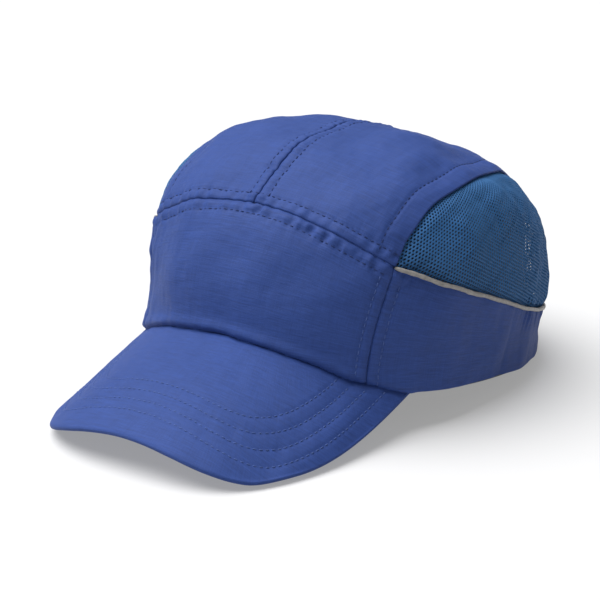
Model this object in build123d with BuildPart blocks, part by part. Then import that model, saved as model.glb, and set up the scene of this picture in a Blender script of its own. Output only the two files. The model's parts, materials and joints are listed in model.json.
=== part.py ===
from build123d import *
from math import copysign, cos, pi, radians, sin, tan
import os

os.makedirs("parts", exist_ok=True)

# All lengths are millimetres and all angles degrees. The visor points to -Y and +X is the wearer's left.

# How the cap stands: it rests on the visor's two front corners and on the back of the band
lean = 7.45               # the band tips back by this much
band_centre_y = 32.42     # the middle of the band, in the standing frame
band_centre_z = 12.62

# Crown
crown_height = 114.8
half_width = 90.2         # across the band
front_reach = 108.9       # from the band's centre to its front
rear_reach = 107.1        # and to its back
plan_power = 2.2          # 2 would be an ellipse, more is squarer
top_drift = 10.7          # the top sits this far forward of the band's centre
side_swell = 0.124        # the sides spread on the way up
front_swell = -0.076      # the front leans in
rear_swell = 0.066
side_powers = (4.9, 2.03)     # how late and how sharply each wall turns over into the top
front_powers = (3.3, 1.7)
rear_powers = (3.25, 1.46)
section_rises = (0, 0.15, 0.35, 0.55, 0.7, 0.81, 0.89, 0.945, 0.98, 0.996)
outline_steps = 28

# Layers, as insets from the crown's outer face
cloth = 1.0
tape_depth = 1.6
stiffener_depth = 1.9
sweatband_outer = 4.2
sweatband_inner = 5.7
sweatband_high = 30
sweatband_gap_half = 71   # it stops short of the straps
shell_side, shell_top, shell_wall = 7.0, 4.0, 2.0
pad_thickness = 5.0

# Seams
seam_peak = 80.7          # the front panel's top seam, at the middle
seam_end_x, seam_end_z = 72, 60
side_seam_foot = -79      # where the front panel meets the side band, at the bottom and at the top
side_seam_mid = (-76.5, 40)
side_seam_top = -71
tape_half = 6.0
side_tape_top = 52

# Mesh panel and piping, seen from the side as (towards the back, up)
mesh_arch = [(-71, 60), (-62, 75), (-42, 90), (-5, 98), (35, 94), (72, 77), (112, 40)]
piping_line = [(-71, 60), (-46, 51), (-7, 40), (21, 32), (53, 26), (82, 22.5), (125, 19)]
piping_half = 1.4
piping_proud = 1.1
rear_strip_half = 50      # the crown cloth between the two mesh panels

# Half-moon opening at the back and its adjuster
opening_half, opening_height = 46, 50
binding_width, binding_proud = 2.5, 0.5
strap_low, strap_high = 2, 24
strap_centre_y = 19.1     # the strap runs on an arc about this point of the middle plane
strap_outer_radius = 86.6
strap_cloth = 1.2
hook_thickness = 0.5
strap_gap = 0.3
hook_strap_ends = (71, 140)
hook_patch_ends = (73, 99)
loop_strap_ends = (47, 104)
loop_pile_ends = (60, 103)
loop_root_ends = (47, 57)
patch_heights = (3.5, 22.5)
strap_corner = 5

# Visor
visor_droop = 25.2
visor_arch_radius = 95.4
visor_root_height = 18.4
visor_half_width = 78.5
visor_length = 65.2
visor_power = 3.37
visor_thickness = 3.6
visor_cloth = 0.8
visor_rim = 1.2           # from the outline in to the board
visor_undercut = 0.9      # the lower cloth's outline stands inside the upper one's

# Shell
shell_low = 30
rim_height, rim_extra = 4.0, 1.0
vent_length, vent_width = 26, 6
vent_floor, vent_centre_y = 92, -14
vent_pitch_x, vent_pitch_y = 24, 40
side_vent_height, side_vent_pitch = 76, 26
side_vent_centre_y = 26   # two on each side, behind the ears
pad_low, pad_high = 36, 58
rear_pad_low, rear_pad_high = 60, 80
shell_arch_clearance = 4  # the shell's back edge clears the half-moon opening
pad_half_length = 34
pad_floor_top = 11.0
crown_pad_half, crown_pad_corner, crown_pad_bore = 40, 18, 12

# Small pieces
label_thickness = 0.4
label_span, label_heights = (-12, 14), (6, 24)
tab_radius = 11
tab_places = ((34, -44), (-34, -44), (36, 26), (-36, 26))
tab_thickness, tab_gap = 1.2, 0.4
elastic_thickness = 0.9
elastic_span, elastic_heights = (10, 58), (3, 22)

band_plane = Plane(
    origin=(0, band_centre_y, band_centre_z),
    x_dir=(1, 0, 0),
    z_dir=(0, sin(radians(lean)), cos(radians(lean))),
)
side_plane = Plane(band_plane.origin, x_dir=band_plane.y_dir, z_dir=band_plane.x_dir)
front_plane = Plane(band_plane.origin, x_dir=band_plane.x_dir, z_dir=-band_plane.y_dir)
far = 150                 # past every face of the cap


def reach(base, swell, powers, rise):
    # distance from the crown's axis to a wall, at a fraction of the height
    return base * (1 + swell * rise) * (1 - rise ** powers[0]) ** (1 / powers[1])


def outline(inset, rise, spread):
    across = reach(half_width - inset, side_swell * spread, side_powers, rise)
    ahead = reach(front_reach - inset, front_swell, front_powers, rise)
    behind = reach(rear_reach - inset, rear_swell * spread, rear_powers, rise)
    points = []
    for step in range(outline_steps):
        turn = 2 * pi * step / outline_steps
        along = behind if sin(turn) > 0 else ahead
        x = across * copysign(abs(cos(turn)) ** (2 / plan_power), cos(turn))
        y = along * copysign(abs(sin(turn)) ** (2 / plan_power), sin(turn))
        points.append((x, y - top_drift * rise**2))
    return points


def dome(side_inset, top_inset=None, spread=1):
    # the solid crown, its walls moved in by side_inset and its top down by top_inset
    top = crown_height - (side_inset if top_inset is None else top_inset)
    with BuildPart() as body:
        for rise in section_rises:
            with BuildSketch(band_plane.offset(top * rise)):
                with BuildLine():
                    Spline(outline(side_inset, rise, spread), periodic=True)
                make_face()
        loft()
    return body.part


def between(outer, inner):
    with BuildPart() as skin:
        add(outer)
        add(inner, mode=Mode.SUBTRACT)
    return skin.part


def common(*solids):
    with BuildPart() as shared:
        add(solids[0])
        for solid in solids[1:]:
            add(solid, mode=Mode.INTERSECT)
    return shared.part


def block(x_range, y_range, z_range):
    # a box square to the band
    with BuildPart() as box:
        with BuildSketch(band_plane.offset(z_range[0])):
            with Locations(((x_range[0] + x_range[1]) / 2, (y_range[0] + y_range[1]) / 2)):
                Rectangle(x_range[1] - x_range[0], y_range[1] - y_range[0])
        extrude(amount=z_range[1] - z_range[0])
    return box.part


def under_seam(drop):
    # everything ahead of the crown's middle and lower than the front seam
    with BuildPart() as region:
        with BuildSketch(front_plane):
            with BuildLine():
                ThreePointArc(
                    (-seam_end_x, seam_end_z - drop),
                    (0, seam_peak - drop),
                    (seam_end_x, seam_end_z - drop),
                )
                Polyline(
                    (seam_end_x, seam_end_z - drop),
                    (far, seam_end_z - drop),
                    (far, -far),
                    (-far, -far),
                    (-far, seam_end_z - drop),
                    (-seam_end_x, seam_end_z - drop),
                )
            make_face()
        extrude(amount=far)
    return region.part


def ahead_of_seam(step):
    # everything ahead of the two side seams
    with BuildPart() as region:
        with BuildSketch(side_plane):
            with BuildLine():
                ThreePointArc(
                    (side_seam_foot - step, 0),
                    (side_seam_mid[0] - step, side_seam_mid[1]),
                    (side_seam_top - step, seam_end_z + 2),
                )
                Polyline(
                    (side_seam_top - step, seam_end_z + 2),
                    (side_seam_top - step, far),
                    (-far, far),
                    (-far, -far),
                    (side_seam_foot - step, -far),
                    (side_seam_foot - step, 0),
                )
            make_face()
        extrude(amount=far, both=True)
    return region.part


def under_line(points, lift):
    # everything lower than a line seen from the side
    raised = [(y, z + lift) for y, z in points]
    with BuildPart() as region:
        with BuildSketch(side_plane):
            with BuildLine():
                Spline(raised)
                Polyline(
                    raised[-1],
                    (raised[-1][0], -far),
                    (-far, -far),
                    (-far, raised[0][1]),
                    raised[0],
                )
            make_face()
        extrude(amount=far, both=True)
    return region.part


def opening_prism(margin):
    # the half-moon opening, cut through the back of the crown
    with BuildPart() as prism:
        with BuildSketch(front_plane):
            Ellipse(opening_half - margin, opening_height - margin)
        extrude(amount=-far)
    return prism.part


def arc_strip(inner_radius, outer_radius, ends, low=strap_low, high=strap_high):
    # part of an upright ring about the strap's centre
    with BuildPart() as strip:
        with BuildSketch(band_plane.offset(low)):
            with BuildLine():
                outer = CenterArc((0, strap_centre_y), outer_radius, ends[0], ends[1] - ends[0])
                inner = CenterArc((0, strap_centre_y), inner_radius, ends[0], ends[1] - ends[0])
                Line(outer @ 0, inner @ 0)
                Line(outer @ 1, inner @ 1)
            make_face()
        extrude(amount=high - low)
    return strip.part


def visor_outline(margin):
    middle = -0.42 * front_reach
    length = visor_length - margin + 0.58 * front_reach
    points = []
    for step in range(17):
        turn = radians(-90 + 180 * step / 16)
        x = (visor_half_width - margin) * copysign(abs(sin(turn)) ** (2 / visor_power), turn)
        points.append((x, middle - length * abs(cos(turn)) ** (2 / visor_power)))
    return points


def visor_layer(depth, thickness, margin):
    # an arched slab, its upper face depth below the visor's top, cut to the visor's outline
    start = 50                # ahead of the crown's middle
    crest = visor_root_height + (front_reach - start) * tan(radians(visor_droop))
    radius = visor_arch_radius - depth / cos(radians(visor_droop))
    edge = visor_outline(margin)
    forward = front_plane.z_dir * cos(radians(visor_droop))
    slope = forward - band_plane.z_dir * sin(radians(visor_droop))
    with BuildPart() as slab:
        with BuildSketch(front_plane.offset(start)):
            with Locations((0, crest - visor_arch_radius)):
                Circle(radius)
                Circle(radius - thickness / cos(radians(visor_droop)), mode=Mode.SUBTRACT)
            with Locations((0, crest - 2 * visor_arch_radius)):
                Rectangle(2 * far, 2 * visor_arch_radius, mode=Mode.SUBTRACT)
        extrude(amount=far / cos(radians(visor_droop)), dir=slope)
        with BuildSketch(band_plane.offset(-far)):
            with BuildLine():
                Spline(edge)
                Line(edge[-1], edge[0])
            make_face()
        extrude(amount=2 * far, mode=Mode.INTERSECT)
        add(crown_solid, mode=Mode.SUBTRACT)
    return slab.part


def save(part, name):
    part.label = name
    export_step(part, f"parts/{name}.step")
    print(name, round(part.volume), "mm3")


# Solids that the pieces are cut from
whole = (-far, far)
left_side, right_side = block((0, far), whole, whole), block((-far, 0), whole, whole)
behind_strip = block((-rear_strip_half, rear_strip_half), whole, whole)
crown_solid = dome(0)
cloth_inside = dome(cloth)
tape_inside = dome(tape_depth)
cover_skin = between(crown_solid, cloth_inside)
tape_skin = between(cloth_inside, tape_inside)
piping_skin = between(dome(-piping_proud), cloth_inside)
front_region = common(under_seam(0), ahead_of_seam(0))
below_arch = between(under_line(mesh_arch, 0), behind_strip)
below_piping_top = under_line(piping_line, piping_half)
below_piping_foot = under_line(piping_line, -piping_half)
opening = opening_prism(0)

# Cover: front panel
with BuildPart() as front_panel:
    add(cover_skin)
    add(front_region, mode=Mode.INTERSECT)
save(front_panel.part, "front_panel")

# Cover: the two crown panels, which meet along the middle
for name, half in (("crown_panel_left", left_side), ("crown_panel_right", right_side)):
    with BuildPart() as crown_panel:
        add(cover_skin)
        add(half, mode=Mode.INTERSECT)
        for region in (front_region, below_arch, below_piping_top, opening):
            add(region, mode=Mode.SUBTRACT)
    save(crown_panel.part, name)

# Cover: mesh panels, piping and side bands
for suffix, half in (("left", left_side), ("right", right_side)):
    with BuildPart() as side_mesh:
        add(cover_skin)
        add(half, mode=Mode.INTERSECT)
        add(below_arch, mode=Mode.INTERSECT)
        add(below_piping_top, mode=Mode.SUBTRACT)
        add(front_region, mode=Mode.SUBTRACT)
    save(side_mesh.part, f"side_mesh_{suffix}")

    with BuildPart() as piping:
        add(piping_skin)
        add(half, mode=Mode.INTERSECT)
        add(below_piping_top, mode=Mode.INTERSECT)
        for region in (below_piping_foot, front_region, opening):
            add(region, mode=Mode.SUBTRACT)
    save(piping.part, f"piping_{suffix}")

    with BuildPart() as side_band:
        add(cover_skin)
        add(half, mode=Mode.INTERSECT)
        add(below_piping_foot, mode=Mode.INTERSECT)
        add(front_region, mode=Mode.SUBTRACT)
        add(opening, mode=Mode.SUBTRACT)
    save(side_band.part, f"side_band_{suffix}")

# Visor: a board between two cloths that meet around its rim
board_space = visor_layer(visor_cloth, visor_thickness - 2 * visor_cloth, visor_undercut + visor_rim)
with BuildPart() as visor_cover_top:
    add(visor_layer(0, visor_thickness / 2, 0))
    add(board_space, mode=Mode.SUBTRACT)
save(visor_cover_top.part, "visor_cover_top")

with BuildPart() as visor_cover_under:
    add(visor_layer(visor_thickness / 2, visor_thickness / 2, visor_undercut))
    add(board_space, mode=Mode.SUBTRACT)
save(visor_cover_under.part, "visor_cover_under")

with BuildPart() as visor_board:
    add(board_space)
save(visor_board.part, "visor_board")

# Inside the cover: seam tapes
with BuildPart() as seam_tape_front:
    add(tape_skin)
    add(common(under_seam(-tape_half), ahead_of_seam(0)), mode=Mode.INTERSECT)
    add(under_seam(tape_half), mode=Mode.SUBTRACT)
save(seam_tape_front.part, "seam_tape_front")

with BuildPart() as seam_tape_centre:
    add(tape_skin)
    add(block((-tape_half, tape_half), whole, (opening_height, far)), mode=Mode.INTERSECT)
    add(under_seam(-tape_half), mode=Mode.SUBTRACT)
save(seam_tape_centre.part, "seam_tape_centre")

for suffix, half in (("left", left_side), ("right", right_side)):
    with BuildPart() as seam_tape_side:
        add(tape_skin)
        add(half, mode=Mode.INTERSECT)
        add(ahead_of_seam(-tape_half), mode=Mode.INTERSECT)
        add(ahead_of_seam(tape_half), mode=Mode.SUBTRACT)
        add(block(whole, whole, (sweatband_high, side_tape_top)), mode=Mode.INTERSECT)
    save(seam_tape_side.part, f"seam_tape_{suffix}")

# Inside the cover: the stiffener behind the front panel
with BuildPart() as front_stiffener:
    add(cloth_inside)
    add(dome(stiffener_depth), mode=Mode.SUBTRACT)
    add(common(under_seam(tape_half), ahead_of_seam(tape_half)), mode=Mode.INTERSECT)
    add(block(whole, whole, (1, far)), mode=Mode.INTERSECT)
save(front_stiffener.part, "front_stiffener")

# Inside the cover: sweatband, open at the back
with BuildPart() as sweatband:
    add(dome(sweatband_outer))
    add(dome(sweatband_inner), mode=Mode.SUBTRACT)
    add(block(whole, whole, (0, sweatband_high)), mode=Mode.INTERSECT)
    add(block((-sweatband_gap_half, sweatband_gap_half), (0, far), whole), mode=Mode.SUBTRACT)
save(sweatband.part, "sweatband")

# Binding round the half-moon opening
with BuildPart() as opening_binding:
    add(dome(-binding_proud))
    add(tape_inside, mode=Mode.SUBTRACT)
    add(opening, mode=Mode.INTERSECT)
    add(opening_prism(binding_width), mode=Mode.SUBTRACT)
    add(block(whole, whole, (0, far)), mode=Mode.INTERSECT)
save(opening_binding.part, "opening_binding")

# Adjuster: the loop strap is sewn to the wearer's left, its root folded up to the band
loop_pile_outer = strap_outer_radius - strap_cloth - hook_thickness - strap_gap
loop_strap_outer = loop_pile_outer - hook_thickness
loop_strap_inner = loop_strap_outer - strap_cloth
with BuildPart() as loop_strap:
    add(arc_strip(loop_strap_inner, loop_strap_outer, loop_strap_ends))
    add(common(arc_strip(loop_strap_outer, far, loop_root_ends), cloth_inside))
save(loop_strap.part, "loop_strap")

with BuildPart() as loop_pile:
    add(arc_strip(loop_strap_outer, loop_pile_outer, loop_pile_ends, *patch_heights))
save(loop_pile.part, "loop_pile")

# Adjuster: the hook strap slides out of the channel behind the right band and grips the pile
hook_strap_inner = strap_outer_radius - strap_cloth
with BuildPart() as hook_strap:
    add(arc_strip(hook_strap_inner, strap_outer_radius, hook_strap_ends))
    fillet(hook_strap.edges().filter_by(lambda edge: edge.length < 2).sort_by(Axis.X)[-2:], strap_corner)
save(hook_strap.part, "hook_strap")

with BuildPart() as hook_patch:
    add(arc_strip(hook_strap_inner - hook_thickness, hook_strap_inner, hook_patch_ends, *patch_heights))
save(hook_patch.part, "hook_patch")

# Sewn-in label, left blank
with BuildPart() as care_label:
    add(dome(sweatband_inner))
    add(dome(sweatband_inner + label_thickness), mode=Mode.SUBTRACT)
    add(block((0, far), label_span, label_heights), mode=Mode.INTERSECT)
save(care_label.part, "care_label")

# Shell: a vented cap whose walls drop straight, so that it draws down through the sweatband
shell_outside = dome(shell_side, shell_top, 0)
shell_inside = dome(shell_side + shell_wall, shell_top + shell_wall, 0)
rim_inside = dome(shell_side + shell_wall + rim_extra, shell_top + shell_wall, 0)
above_rim = block(whole, whole, (shell_low, far))
rim_space = block(whole, whole, (shell_low, shell_low + rim_height))
with BuildPart() as shell:
    add(shell_outside)
    add(shell_inside, mode=Mode.SUBTRACT)
    add(common(shell_inside, rim_space))
    add(rim_inside, mode=Mode.SUBTRACT)
    add(above_rim, mode=Mode.INTERSECT)
    add(opening_prism(-shell_arch_clearance), mode=Mode.SUBTRACT)
    with BuildSketch(band_plane.offset(vent_floor)):
        with Locations((0, vent_centre_y)):
            with GridLocations(vent_pitch_x, vent_pitch_y, 4, 3):
                SlotOverall(vent_length, vent_width, rotation=90)
    extrude(amount=far, mode=Mode.SUBTRACT)
    with BuildSketch(side_plane):
        with Locations((side_vent_centre_y, side_vent_height)):
            with GridLocations(side_vent_pitch, far, 2, 1):
                SlotOverall(vent_length, vent_width, rotation=90)
    extrude(amount=far, both=True, mode=Mode.SUBTRACT)
    with BuildSketch(front_plane):
        with Locations((0, side_vent_height)):
            with GridLocations(side_vent_pitch, far, 3, 1):
                SlotOverall(vent_length, vent_width, rotation=90)
    extrude(amount=far, both=True, mode=Mode.SUBTRACT)
save(shell.part, "shell")

# Foam pads on the shell's inner face
pad_space = between(shell_inside, dome(shell_side + shell_wall + pad_thickness, pad_floor_top, 0))
pad_span = (-pad_half_length, pad_half_length)
pad_heights = (pad_low, pad_high)
for name, x_range, y_range, z_range in (
    ("pad_brow", pad_span, (-far, 0), pad_heights),
    ("pad_rear", pad_span, (0, far), (rear_pad_low, rear_pad_high)),
    ("pad_left", (0, far), pad_span, pad_heights),
    ("pad_right", (-far, 0), pad_span, pad_heights),
):
    with BuildPart() as wall_pad:
        add(pad_space)
        add(block(x_range, y_range, z_range), mode=Mode.INTERSECT)
    save(wall_pad.part, name)

with BuildPart() as pad_crown:
    with BuildSketch(band_plane.offset(pad_high)):
        with Locations((0, vent_centre_y)):
            RectangleRounded(2 * crown_pad_half, 2 * crown_pad_half, crown_pad_corner)
            Circle(crown_pad_bore, mode=Mode.SUBTRACT)
    extrude(amount=far)
    add(pad_space, mode=Mode.INTERSECT)
save(pad_crown.part, "pad_crown")

# Round tabs: loop on the cover's lining side, hook on the shell
tab_face = cloth + tab_thickness
with BuildPart() as tab_posts:
    with BuildSketch(band_plane.offset(vent_floor)):
        with Locations(*tab_places):
            Circle(tab_radius)
    extrude(amount=far)

with BuildPart() as cover_tabs:
    add(between(cloth_inside, dome(tab_face)))
    add(tab_posts.part, mode=Mode.INTERSECT)
save(cover_tabs.part, "cover_tabs")

with BuildPart() as shell_tabs:
    add(dome(tab_face + tab_gap))
    add(shell_outside, mode=Mode.SUBTRACT)
    add(tab_posts.part, mode=Mode.INTERSECT)
save(shell_tabs.part, "shell_tabs")

# Elastic sewn inside each side band
elastic_skin = between(cloth_inside, dome(cloth + elastic_thickness))
for suffix, half in (("left", left_side), ("right", right_side)):
    with BuildPart() as band_elastic:
        add(elastic_skin)
        add(half, mode=Mode.INTERSECT)
        add(block(whole, elastic_span, elastic_heights), mode=Mode.INTERSECT)
    save(band_elastic.part, f"band_elastic_{suffix}")
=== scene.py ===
import json
import math
import bpy
import numpy as np
from mathutils import Matrix, Vector


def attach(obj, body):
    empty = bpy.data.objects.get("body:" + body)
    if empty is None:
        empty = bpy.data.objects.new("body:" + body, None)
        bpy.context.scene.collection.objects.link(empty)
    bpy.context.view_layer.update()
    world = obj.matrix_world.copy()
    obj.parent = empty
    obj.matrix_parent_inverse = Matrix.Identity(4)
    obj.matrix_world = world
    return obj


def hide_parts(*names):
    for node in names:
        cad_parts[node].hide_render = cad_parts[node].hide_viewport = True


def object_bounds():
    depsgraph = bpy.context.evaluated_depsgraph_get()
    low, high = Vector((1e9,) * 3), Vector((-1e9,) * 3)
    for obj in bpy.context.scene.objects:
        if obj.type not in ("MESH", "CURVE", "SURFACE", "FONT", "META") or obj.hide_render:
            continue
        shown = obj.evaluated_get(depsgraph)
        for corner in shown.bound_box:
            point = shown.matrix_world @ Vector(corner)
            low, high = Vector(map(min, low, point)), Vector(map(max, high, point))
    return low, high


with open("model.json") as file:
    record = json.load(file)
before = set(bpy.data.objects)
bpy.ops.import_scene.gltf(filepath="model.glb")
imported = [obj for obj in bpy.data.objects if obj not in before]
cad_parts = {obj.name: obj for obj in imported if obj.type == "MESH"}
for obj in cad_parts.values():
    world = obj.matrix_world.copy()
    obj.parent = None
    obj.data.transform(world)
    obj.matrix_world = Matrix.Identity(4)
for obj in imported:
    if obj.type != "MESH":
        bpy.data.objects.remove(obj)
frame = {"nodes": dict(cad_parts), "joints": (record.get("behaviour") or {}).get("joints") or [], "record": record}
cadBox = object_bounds()
record = frame["record"]
print("frame loaded:", len(frame["nodes"]), "nodes")

# Everything is worked out in millimetres, square to the cap's band, and toRow puts it in the standing frame
liftJoint = next(j for j in frame["joints"] if j["name"] == "cover_lift")
headMount = next(m for m in record["mounts"] if m["name"] == "head_opening")
bandUp = Vector(liftJoint["axis"]).normalized()
bandAcross = Vector((1, 0, 0))
bandBack = bandUp.cross(bandAcross)
bandAxes = np.array([bandAcross, bandBack, bandUp])
bandAt = np.array(headMount["pos_m"])


def toRow(points):
    return np.asarray(points, float) @ bandAxes / 1000 + bandAt


# Shader maths
class Socket:
    def __init__(self, look, link):
        self.look, self.link = look, link

    def math(self, operation, other=None):
        values = [self] if other is None else [self, other]
        return self.look.node("Math", {"operation": operation}, *values)

    def __add__(self, other):
        return self.math("ADD", other)

    def __mul__(self, other):
        return self.math("MULTIPLY", other)

    def __sub__(self, other):
        return self.math("SUBTRACT", other)

    def __rsub__(self, other):
        return self.look.node("Math", {"operation": "SUBTRACT"}, other, self)

    def __pow__(self, other):
        return self.math("POWER", other)

    __radd__, __rmul__ = __add__, __mul__


class Look:
    # one material: its nodes, and the shader that they feed
    def __init__(self, name, **fixed):
        self.made = bpy.data.materials.new(name)
        self.made.use_nodes = True
        self.tree = self.made.node_tree
        self.shader = self.tree.nodes["Principled BSDF"]
        for socket, value in fixed.items():
            self.shader.inputs[socket.replace("_", " ")].default_value = value

    def node(self, kind, settings, *values, out=0, **named):
        made = self.tree.nodes.new("ShaderNode" + kind)
        for key, value in settings.items():
            setattr(made, key, value)
        for key, value in list(enumerate(values)) + list(named.items()):
            socket = made.inputs[key.replace("_", " ") if isinstance(key, str) else key]
            self.join(socket, value)
        return Socket(self, made.outputs[out])

    def join(self, socket, value):
        if isinstance(value, Socket):
            self.tree.links.new(value.link, socket)
        else:
            socket.default_value = value

    def feed(self, **values):
        for key, value in values.items():
            self.join(self.shader.inputs[key.replace("_", " ")], value)

    def blend(self, factor, a, b):
        mixed = self.node("Mix", {"data_type": "RGBA", "clamp_factor": True}, factor, out=2)
        made = mixed.link.node
        self.join(made.inputs[6], a)
        self.join(made.inputs[7], b)
        return mixed

    def cut(self):
        # the piece's own flat coordinates, in millimetres
        return self.node("Attribute", {"attribute_name": "cut"}, out=1)

    def place(self):
        return self.node("TexCoord", {}, out=3)

    def axis(self, vector, which):
        return self.node("SeparateXYZ", {}, vector, out=which)

    def scaled(self, vector, factor):
        return self.node("VectorMath", {"operation": "MULTIPLY"}, vector, factor)

    def noise(self, vector, scale, detail=3.0, rough=0.5):
        return self.node("TexNoise", {}, Vector=vector, Scale=scale, Detail=detail, Roughness=rough)

    def bump(self, height, distance, strength=1.0):
        self.feed(Normal=self.node("Bump", {}, Strength=strength, Distance=distance, Height=height))


def opaque(colour, factor=1.0):
    return tuple(min(1.0, channel * factor) for channel in colour) + (1.0,)


def wovenLook(name, colour, pitch, depth, rough, sheen, slub=2.6):
    # plain weave on the piece's flat coordinates: two crossing ribs, slubbed yarns and a slow change of dye
    look = Look(name, Roughness=rough, Sheen_Weight=sheen, Sheen_Roughness=0.3, Specular_IOR_Level=0.18)
    look.shader.inputs["Sheen Tint"].default_value = (0.62, 0.72, 1.0, 1.0)
    cut = look.cut()
    x, y = look.axis(cut, 0), look.axis(cut, 1)
    wander = look.noise(cut, 0.9, 2.0) * 0.5
    warp = (x * (2 * math.pi / pitch) + wander).math("SINE")
    weft = (y * (2 * math.pi / pitch) + wander).math("SINE")
    weave = (warp * weft) * 0.5 + 0.5
    streaks = look.noise(look.scaled(cut, (0.05, 1.1, 1.0)), 1.0, 4.0, 0.62)
    slubs = look.noise(look.scaled(cut, (0.14, 2.4, 1.0)), 1.0, 3.0, 0.6)
    ends = look.noise(look.scaled(cut, (1.5, 0.06, 1.0)), 1.0, 4.0, 0.62)
    yarns = streaks * 0.4 + slubs * 0.35 + ends * 0.25
    dye = look.noise(look.place(), 16.0, 3.0)
    tone = (yarns - 0.5) * slub + (weave - 0.5) * 0.22 + (dye - 0.5) * 0.4 + 0.5
    look.feed(Base_Color=look.blend(tone, opaque(colour, 0.68), opaque(colour, 1.32)))
    look.feed(Roughness=(yarns - 0.5) * 0.25 + rough)
    look.bump(weave * 0.5 + yarns * 2.2, depth / 1000)
    return look.made


palette = {
    "cloth": (0.026, 0.058, 0.222),
    # navy stitching, partly its own colour and partly painted shade of the dimples where the stitches pull into
    # the cloth
    "thread": (0.015, 0.034, 0.135),
    "paleThread": (0.070, 0.122, 0.345),
    "mesh": (0.030, 0.108, 0.262),
    "piping": (0.27, 0.255, 0.24),
}
clothLook = wovenLook("royalCloth", palette["cloth"], pitch=0.62, depth=0.16, rough=0.6, sheen=0.06)


def threadLook(name, colour):
    look = Look(name, Roughness=0.6, Sheen_Weight=0.06, Specular_IOR_Level=0.15)
    cut = look.cut()
    twist = (look.axis(cut, 0) * 9.0 + look.axis(cut, 1) * 5.0).math("SINE") * 0.5 + 0.5
    look.feed(Base_Color=look.blend(twist, opaque(colour, 0.7), opaque(colour, 1.15)))
    look.bump(twist, 0.00008)
    return look.made


threadBlue = threadLook("threadBlue", palette["thread"])
threadPale = threadLook("threadPale", palette["paleThread"])


def meshLook(name, colour):
    look = Look(name, Roughness=0.6, Sheen_Weight=0.02, Specular_IOR_Level=0.12)
    cut = look.cut()
    fibre = look.noise(look.scaled(cut, (6.0, 1.4, 1.0)), 1.0, 3.0)
    dye = look.noise(look.place(), 30.0, 2.0)
    tone = (fibre - 0.5) * 0.9 + (dye - 0.5) * 0.5 + 0.5
    look.feed(Base_Color=look.blend(tone, opaque(colour, 0.6), opaque(colour, 1.5)))
    look.bump(fibre, 0.00012)
    return look.made


def pipingLook(name, colour):
    look = Look(name, Roughness=0.42, Specular_IOR_Level=0.6)
    cut = look.cut()
    beads = look.noise(cut, 5.0, 2.0)
    creases = look.noise(look.scaled(cut, (0.42, 0.12, 1.0)), 1.0, 4.0)
    # darker where the creases sink: painted shade in the creases, over the bead's own mottling
    tone = (creases - 0.5) * 1.6 + (beads - 0.5) * 0.6 + 0.5
    look.feed(Base_Color=look.blend(tone, opaque(colour, 0.62), opaque(colour, 1.25)))
    look.bump(creases * 2.0 + beads * 0.4, 0.0003)
    return look.made


# The crown's face
crown = {
    "height": 114.8, "halfWidth": 90.2, "front": 108.9, "rear": 107.1, "power": 2.2, "drift": 10.7,
    "sideSwell": 0.124, "frontSwell": -0.076, "rearSwell": 0.066,
    "sidePowers": (4.9, 2.03), "frontPowers": (3.3, 1.7), "rearPowers": (3.25, 1.46),
    "core": np.array((0.0, -4.0, 36.0)),
}


def reach(base, swell, powers, rise):
    return base * (1 + swell * rise) * (1 - rise ** powers[0]) ** (1 / powers[1])


def walls(z):
    rise = np.clip(np.asarray(z, float) / crown["height"], 0, 0.99999)
    across = reach(crown["halfWidth"], crown["sideSwell"], crown["sidePowers"], rise)
    ahead = reach(crown["front"], crown["frontSwell"], crown["frontPowers"], rise)
    behind = reach(crown["rear"], crown["rearSwell"], crown["rearPowers"], rise)
    return across, ahead, behind, crown["drift"] * rise**2


def fullness(points):
    # 1 on the crown's face, less inside it
    across, ahead, behind, drift = walls(points[:, 2])
    y = points[:, 1] + drift
    along = np.where(y < 0, ahead, behind)
    power = crown["power"]
    full = (np.abs(points[:, 0]) / across) ** power + (np.abs(y) / along) ** power
    return np.where(points[:, 2] < crown["height"], full, 2.0)


def onCrown(points):
    # moves points out or in from the crown's core until they lie on its face
    points = np.asarray(points, float).reshape(-1, 3)
    away = points - crown["core"]
    low, high = np.full(len(points), 0.1), np.full(len(points), 4.0)
    for _ in range(34):
        middle = (low + high) / 2
        inside = fullness(crown["core"] + away * middle[:, None]) < 1
        low, high = np.where(inside, middle, low), np.where(inside, high, middle)
    return crown["core"] + away * low[:, None]


def crownNormals(points):
    step = 0.05
    slopes = []
    for axis in range(3):
        shift = np.zeros(3)
        shift[axis] = step
        slopes.append(fullness(points + shift) - fullness(points - shift))
    normals = np.stack(slopes, 1)
    normals[points[:, 2] > crown["height"] - 0.12] = (0, 0, 1)
    return normals / np.linalg.norm(normals, axis=1, keepdims=True)


def wallX(y, z):
    # the crown's half width at a place seen from the side
    across, ahead, behind, drift = walls(z)
    back = np.asarray(y) + drift
    along = np.where(back < 0, ahead, behind)
    return across * np.clip(1 - (np.abs(back) / along) ** crown["power"], 0, 1) ** (1 / crown["power"])


def wallY(x, z, rear):
    # how far back, or forward, the crown's face is at a place seen from the front
    across, ahead, behind, drift = walls(z)
    share = np.clip(1 - (np.abs(x) / across) ** crown["power"], 0, 1) ** (1 / crown["power"])
    return (behind * share if rear else -ahead * share) - drift


def lengths(line):
    steps = np.linalg.norm(np.diff(line, axis=0), axis=1)
    return np.concatenate([[0], np.cumsum(steps)])


def resample(line, count):
    line = np.asarray(line, float)
    run = lengths(line)
    at = np.linspace(0, run[-1], count)
    return np.stack([np.interp(at, run, line[:, k]) for k in range(line.shape[1])], 1)


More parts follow.
